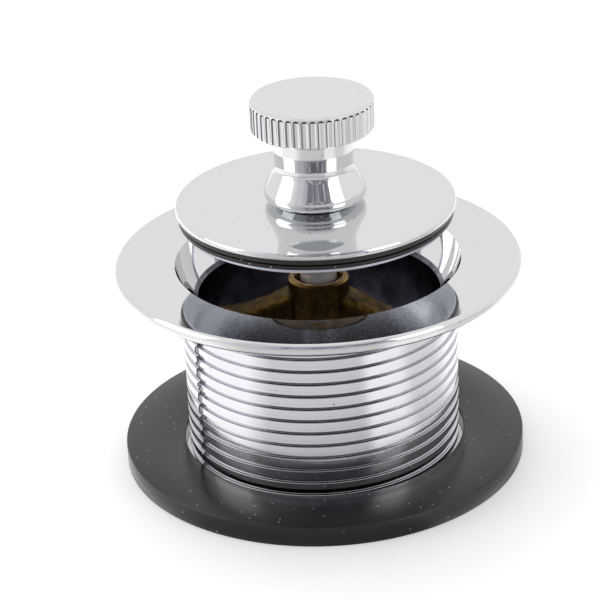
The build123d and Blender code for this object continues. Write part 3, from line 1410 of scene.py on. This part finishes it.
            # Painted shade: the wall of each flute that faces one way round gets the dark grey
            # line.
            elif out.x * normal.y - out.y * normal.x > self.flute_wall_slope:
                face.material_index = KnobFinish.EDGE.value

    def build(self, finishes: Sequence[Material]) -> None:
        """Cuts the flutes and the screw's hole and dresses the knob.

        Args:
            finishes: the three materials, in the order of KnobFinish.
        """
        piece = self.turned_body()
        for cutter in (self.flute_cutters(), self.screw_cutter()):
            apply_modifier(
                piece, "BOOLEAN", operation="DIFFERENCE", object=cutter, solver="EXACT"
            )
            bpy.data.objects.remove(cutter)
        set_finishes(piece, *finishes)
        self.dress_flutes(piece)
        smooth(piece)
        finish_piece(piece, Body.STOPPER, Slot.CHROME, "knob")


@dataclass
class ShoeWasher:
    """Loose flat rubber washer, cut square. Sizes in millimetres."""

    outer_r: float = 35.2
    inner_r: float = 24.7
    thickness: float = 3.6
    corner: float = 0.22
    corner_share: float = 0.3
    crisp_above: float = 50.0
    steps: int = 288

    def build(self, rubber: Material) -> None:
        """Draws and dresses the washer.

        Args:
            rubber: finish of the washer.
        """
        c, t = self.corner, self.thickness
        soft = c * self.corner_share
        inner, outer = self.inner_r, self.outer_r
        outline = [(inner, c), (inner + c, 0), (outer - c, 0), (outer, c), (outer, t / 2)]
        outline += [(outer, t - c), (outer - soft, t - soft), (outer - c, t)]
        outline += [((inner + outer) / 2, t), (inner + c, t), (inner + soft, t - soft)]
        outline += [(inner, t - c), (inner, c)]
        piece = lathe("shoe_washer", scaled(outline), self.steps, closed=True)
        set_finishes(piece, rubber)
        smooth(piece, self.crisp_above)
        finish_piece(piece, Body.WASHER, Slot.RUBBER, "shoe_washer")


@dataclass(frozen=True)
class Lamp:
    """Square soft lamp aimed at the object. Sizes in millimetres."""

    name: str
    place: tuple[float, float, float]
    size: float
    radiance: float
    aim_height: float = 25.0

    def hang(self) -> None:
        """Hangs the lamp, its face as bright as its radiance, where plain white is one."""
        data = bpy.data.lights.new(self.name, "AREA")
        data.shape = "SQUARE"
        data.size = self.size * MM
        data.energy = self.radiance * math.pi * data.size**2
        lamp = bpy.data.objects.new(self.name, data)
        bpy.context.scene.collection.objects.link(lamp)
        lamp.location = Vector(self.place) * MM
        aim = Vector((0, 0, self.aim_height * MM)) - lamp.location
        lamp.rotation_euler = aim.to_track_quat("-Z", "Y").to_euler()


@dataclass
class Studio:
    """White table, soft lamps and the camera of the photograph. Angles in degrees."""

    frame_px: float = 600.0
    focal_px: float = 2207.4
    sensor_mm: float = 36.0
    eye_mm: tuple[float, float, float] = (0.0, -345.8, 192.7)
    tilt_down: float = 25.37
    roll: float = -2.28
    centre_px: Point = (319.4, 297.8)
    nearest_mm: float = 10.0
    table_m: float = 4.0
    table_tint: str = "#e7e7e7"
    table_roughness: float = 0.9
    floor_lift: float = 0.38
    fill_level: float = 0.5
    front_tone: str = "#dddde2"
    front_half: float = 52.0
    soft_angle: float = 8.0
    open_from: float = 0.75
    open_to: float = 0.95
    patch_tone: str = "#808088"
    camera_azimuth: float = 8.0
    camera_half: float = 34.0
    camera_low: float = 0.12
    camera_high: float = 0.66
    camera_soft: float = 0.06
    blot_scale: float = 8.0
    blot_detail: float = 8.0
    blot_roughness: float = 0.75
    blot_from: float = 0.44
    blot_to: float = 0.5
    # Painted light seen in the chrome: how bright the table glows to glossy rays, by azimuth, from
    # the front towards +X, and level.
    table_sheen: tuple[Point, ...] = (
        (-180, 0.7), (-110, 0.9), (-90, 0.6), (-74, 0.6), (-54, 0.6), (-36, 0.1), (26, 0.06),
        (33, 0.5), (56, 0.5), (66, 0.2), (90, 0.25), (108, 0.7), (180, 0.7),
    )
    sheen_near_mm: float = 60.0
    sheen_far_mm: float = 150.0
    sheen_rest: float = 0.65
    lamps: tuple[Lamp, ...] = (
        Lamp("top_lamp", (-60, 160, 520), 330, 3.0),
        Lamp("left_lamp", (-450, -80, 190), 300, 1.7),
        Lamp("right_lamp", (370, -280, 210), 240, 1.7),
    )

    def camera(self) -> None:
        """Places the camera at the photograph's viewing angle."""
        data = bpy.data.cameras.new("camera")
        data.sensor_width = self.sensor_mm
        data.lens = self.focal_px / self.frame_px * self.sensor_mm
        data.shift_x = (self.frame_px / 2 - self.centre_px[0]) / self.frame_px
        data.shift_y = (self.centre_px[1] - self.frame_px / 2) / self.frame_px
        data.clip_start = self.nearest_mm * MM
        view = bpy.data.objects.new("camera", data)
        bpy.context.scene.collection.objects.link(view)
        upright = Matrix.Rotation(math.radians(90 - self.tilt_down), 4, "X")
        rolled = Matrix.Rotation(math.radians(self.roll), 4, "Z")
        view.matrix_world = Matrix.Translation(Vector(self.eye_mm) * MM) @ upright @ rolled
        bpy.context.scene.camera = view

    def round_angle(self, tree: Tree, place: Socket) -> Socket:
        """Works out the angle round the object's axis.

        Args:
            tree: the node tree that gets the nodes.
            place: a position or a direction.

        Returns:
            The socket of the angle, from 0 behind, over the left and 0.5 in front, to 1 behind.
        """
        parts = add_node(tree, "ShaderNodeSeparateXYZ", {"Vector": place})
        forward = add_node(
            tree, "ShaderNodeMath", {0: parts.outputs["Y"], 1: -1.0}, operation="MULTIPLY"
        )
        angle = add_node(
            tree, "ShaderNodeMath", {0: parts.outputs["X"], 1: forward.outputs[0]},
            operation="ARCTAN2",
        )
        turns = add_node(
            tree, "ShaderNodeMath", {0: angle.outputs[0], 1: 1 / FULL_TURN, 2: 0.5},
            operation="MULTIPLY_ADD",
        )
        return turns.outputs[0]

    def sheen(self, tree: Tree, place: Socket) -> Socket:
        """Works out the painted light that the table gives off to glossy rays, for the chrome to
        show.

        Args:
            tree: the table's node tree.
            place: the object coordinate socket.

        Returns:
            The socket of the level, by direction and by distance from the object.
        """
        ramp = add_node(tree, "ShaderNodeValToRGB", {"Fac": self.round_angle(tree, place)})
        stops = ramp.color_ramp.elements
        while len(stops) < len(self.table_sheen):
            stops.new(0.5)
        # A moved stop can change its number, so all are placed before any gets its level.
        for stop, (azimuth, _) in zip(stops, self.table_sheen):
            stop.position = azimuth / 360 + 0.5
        for stop, (_, level) in zip(stops, self.table_sheen):
            stop.color = (level, level, level, 1)
        distance = add_node(tree, "ShaderNodeVectorMath", {0: place}, operation="LENGTH")
        nearness = add_node(
            tree, "ShaderNodeMapRange",
            {"Value": distance.outputs["Value"], "From Min": self.sheen_near_mm * MM,
             "From Max": self.sheen_far_mm * MM, "To Min": 1.0, "To Max": self.sheen_rest},
        )
        glow = add_node(
            tree, "ShaderNodeMath",
            {0: nearness.outputs["Result"], 1: ramp.outputs["Color"]}, operation="MULTIPLY",
        )
        return glow.outputs[0]

    def floor(self) -> None:
        """Lays the pale table, which stays white to the camera but keeps shadows, and glows to
        glossy rays as painted light.
        """
        deselect_all()
        bpy.ops.mesh.primitive_plane_add(size=self.table_m, location=(0, 0, 0))
        table = bpy.context.object
        table.name = "floor"
        # Matt white board: to the eye plain white with a soft shadow.
        material, shader, place = new_material("white_table")
        tree = material.node_tree
        shader.inputs["Base Color"].default_value = linear(self.table_tint)
        shader.inputs["Roughness"].default_value = self.table_roughness
        shader.inputs["Specular IOR Level"].default_value = 0.0
        path = add_node(tree, "ShaderNodeLightPath")
        lift = add_node(
            tree, "ShaderNodeMath", {0: path.outputs["Is Camera Ray"], 1: self.floor_lift},
            operation="MULTIPLY",
        )
        # Painted light: to glossy rays only, the table glows by azimuth and distance.
        mirrored = add_node(
            tree, "ShaderNodeMath",
            {0: path.outputs["Is Glossy Ray"], 1: self.sheen(tree, place)}, operation="MULTIPLY",
        )
        both = add_node(
            tree, "ShaderNodeMath", {0: lift.outputs[0], 1: mirrored.outputs[0]}, operation="ADD"
        )
        shader.inputs["Emission Color"].default_value = WHITE
        tree.links.new(both.outputs[0], shader.inputs["Emission Strength"])
        set_finishes(table, material)

    def front(self, tree: Tree, away: Socket, height: Socket) -> Socket:
        """Works out the surroundings: white, with a greyer stretch behind the viewer.

        Args:
            tree: the world's node tree.
            away: turns off the viewer's direction.
            height: the direction's Z.

        Returns:
            The socket of the colour.
        """
        off_front = add_node(tree, "ShaderNodeMath", {0: away}, operation="ABSOLUTE")
        side = add_node(
            tree, "ShaderNodeMapRange",
            {"Value": off_front.outputs[0],
             "From Min": (self.front_half - self.soft_angle) / 360,
             "From Max": (self.front_half + self.soft_angle) / 360},
        )
        high = add_node(
            tree, "ShaderNodeMapRange",
            {"Value": height, "From Min": self.open_from, "From Max": self.open_to},
        )
        open_sky = add_node(
            tree, "ShaderNodeMath", {0: side.outputs["Result"], 1: high.outputs["Result"]},
            operation="MAXIMUM",
        )
        tone = add_node(
            tree, "ShaderNodeMix",
            {"Factor": open_sky.outputs[0], FIRST: linear(self.front_tone), SECOND: WHITE},
            data_type="RGBA",
        )
        return tone.outputs[MIXED]

    def patch(self, tree: Tree, away: Socket, height: Socket, direction: Socket) -> Socket:
        """Works out the broken grey patch round the camera.

        Args:
            tree: the world's node tree.
            away: turns off the viewer's direction.
            height: the direction's Z.
            direction: the direction itself.

        Returns:
            The socket of its share, from 0 outside to 1.
        """
        from_camera = add_node(
            tree, "ShaderNodeMath", {0: away, 1: self.camera_azimuth / 360}, operation="SUBTRACT"
        )
        off_camera = add_node(
            tree, "ShaderNodeMath", {0: from_camera.outputs[0]}, operation="ABSOLUTE"
        )
        beside = add_node(
            tree, "ShaderNodeMapRange",
            {"Value": off_camera.outputs[0],
             "From Min": (self.camera_half - self.soft_angle) / 360,
             "From Max": (self.camera_half + self.soft_angle) / 360,
             "To Min": 1.0, "To Max": 0.0},
        )
        above = add_node(
            tree, "ShaderNodeMapRange",
            {"Value": height, "From Min": self.camera_high - self.camera_soft,
             "From Max": self.camera_high, "To Min": 1.0, "To Max": 0.0},
        )
        below = add_node(
            tree, "ShaderNodeMapRange",
            {"Value": height, "From Min": self.camera_low,
             "From Max": self.camera_low + self.camera_soft},
        )
        band = add_node(
            tree, "ShaderNodeMath", {0: above.outputs["Result"], 1: below.outputs["Result"]},
            operation="MULTIPLY",
        )
        blots = add_node(
            tree, "ShaderNodeTexNoise",
            {"Vector": direction, "Scale": self.blot_scale, "Detail": self.blot_detail,
             "Roughness": self.blot_roughness},
        )
        broken = add_node(
            tree, "ShaderNodeMapRange",
            {"Value": blots.outputs["Fac"], "From Min": self.blot_from, "From Max": self.blot_to},
        )
        whole = add_node(
            tree, "ShaderNodeMath", {0: band.outputs[0], 1: beside.outputs["Result"]},
            operation="MULTIPLY",
        )
        dark = add_node(
            tree, "ShaderNodeMath", {0: whole.outputs[0], 1: broken.outputs["Result"]},
            operation="MULTIPLY",
        )
        return dark.outputs[0]

    def world(self) -> None:
        """Sets up the surroundings: seen plain white, mirrored in greys, dimmer as a light."""
        world = bpy.data.worlds.new("studio")
        bpy.context.scene.world = world
        world.use_nodes = True
        tree = world.node_tree
        tree.nodes.clear()
        direction = add_node(tree, "ShaderNodeTexCoord").outputs["Generated"]
        height = add_node(tree, "ShaderNodeSeparateXYZ", {"Vector": direction}).outputs["Z"]
        turn = self.round_angle(tree, direction)
        away = add_node(tree, "ShaderNodeMath", {0: turn, 1: 0.5}, operation="SUBTRACT").outputs[0]
        mirrored = add_node(
            tree, "ShaderNodeMix",
            {"Factor": self.patch(tree, away, height, direction),
             FIRST: self.front(tree, away, height), SECOND: linear(self.patch_tone)},
            data_type="RGBA",
        )
        path = add_node(tree, "ShaderNodeLightPath")
        fill = (self.fill_level, self.fill_level, self.fill_level, 1)
        lit = add_node(
            tree, "ShaderNodeMix",
            {"Factor": path.outputs["Is Glossy Ray"], FIRST: fill, SECOND: mirrored.outputs[MIXED]},
            data_type="RGBA",
        )
        direct = add_node(
            tree, "ShaderNodeMath",
            {0: path.outputs["Is Camera Ray"], 1: path.outputs["Is Transmission Ray"]},
            operation="MAXIMUM",
        )
        seen = add_node(
            tree, "ShaderNodeMix",
            {"Factor": direct.outputs[0], FIRST: lit.outputs[MIXED], SECOND: WHITE},
            data_type="RGBA",
        )
        background = add_node(
            tree, "ShaderNodeBackground", {"Color": seen.outputs[MIXED], "Strength": 1.0}
        )
        add_node(tree, "ShaderNodeOutputWorld", {"Surface": background.outputs[0]})

    def build(self) -> None:
        """Sets up camera, table, surroundings and lamps."""
        bpy.context.scene.view_settings.view_transform = "Standard"
        self.camera()
        self.floor()
        self.world()
        for lamp in self.lamps:
            lamp.hang()


def dress_carried(finishes: dict[str, Material]) -> None:
    """Dresses the hidden CAD nodes that are shown as they are.

    Args:
        finishes: node name to its material.
    """
    for node, material in finishes.items():
        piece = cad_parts[node]
        piece.data.materials.clear()
        set_finishes(piece, material)
        log.info("%s: carried over", node)


def main() -> None:
    """Builds the studio and every piece in order."""
    logging.basicConfig(level=logging.INFO, format="%(message)s")
    Studio().build()
    chrome = ChromePlate().material()
    rubber = BlackRubber().material()
    cast = MottledMetal().material()
    # Turned brass: the same blotches, but golden, smooth and half bright.
    turned = MottledMetal(
        name="turned_brass", deep="#5a4526", warm="#b08a4c", roughness=0.28, grit_height_mm=0.04
    ).material()
    # Bright drawn steel: an even, cold mirror, slightly soft.
    steel = PlainFinish("bright_steel", "#c9cacd", 1.0, 0.12).material()
    # Moulded nylon: matt and milky.
    nylon = PlainFinish("nylon", "#d9d6cc", 0.0, 0.45).material()
    thread = TurnedPlate().material()
    # Dried grime in the seam, and painted shade in the flutes' round ends: matt near black.
    grime_and_shade = PlainFinish("seam_grime_and_flute_shade", "#131214", 0.0, 0.6).material()
    # Inside the bore: a darker plate, blotched blue grey, still glossy.
    bore = MottledMetal(
        name="dark_bore_plate", deep="#45434a", warm="#85838c", roughness=0.16, grit_height_mm=0.01
    ).material()
    # Painted shade on the grooves' steep sides: dark lines in front, with painted light that pales
    # them towards the sides.
    root_shade = TurnedPlate(
        name="thread_root_shade", tint="#56565c", roughness=0.22, side_light_tint="#c2c2c8"
    ).material()
    # Ground steel of the post: a pale, half bright grey.
    post_steel = PlainFinish("satin_post", "#e0e1e4", 0.5, 0.25).material()
    # Brushed steel of the lower plate: a soft, darker shine.
    satin = PlainFinish("satin_plate", "#b4b6c0", 1.0, 0.26).material()
    # Painted shade on one wall of each flute: a dull dark grey line of plate.
    edge = PlainFinish("flute_wall_shade", "#7a7a80", 1.0, 0.2).material()
    DrainBody().build((chrome, bore, grime_and_shade, thread, root_shade))
    Crossbar().build(cast, turned)
    Post().build(post_steel)
    StopperStack().build(chrome, satin, rubber)
    Knob().build((chrome, edge, grime_and_shade))
    ShoeWasher().build(rubber)
    dress_carried({
        "cross_pin": steel, "set_screw": steel, "drag_ring": nylon,
        "retainer_nut": turned, "guide_sleeve": turned,
    })


if __name__ == "__main__":
    main()
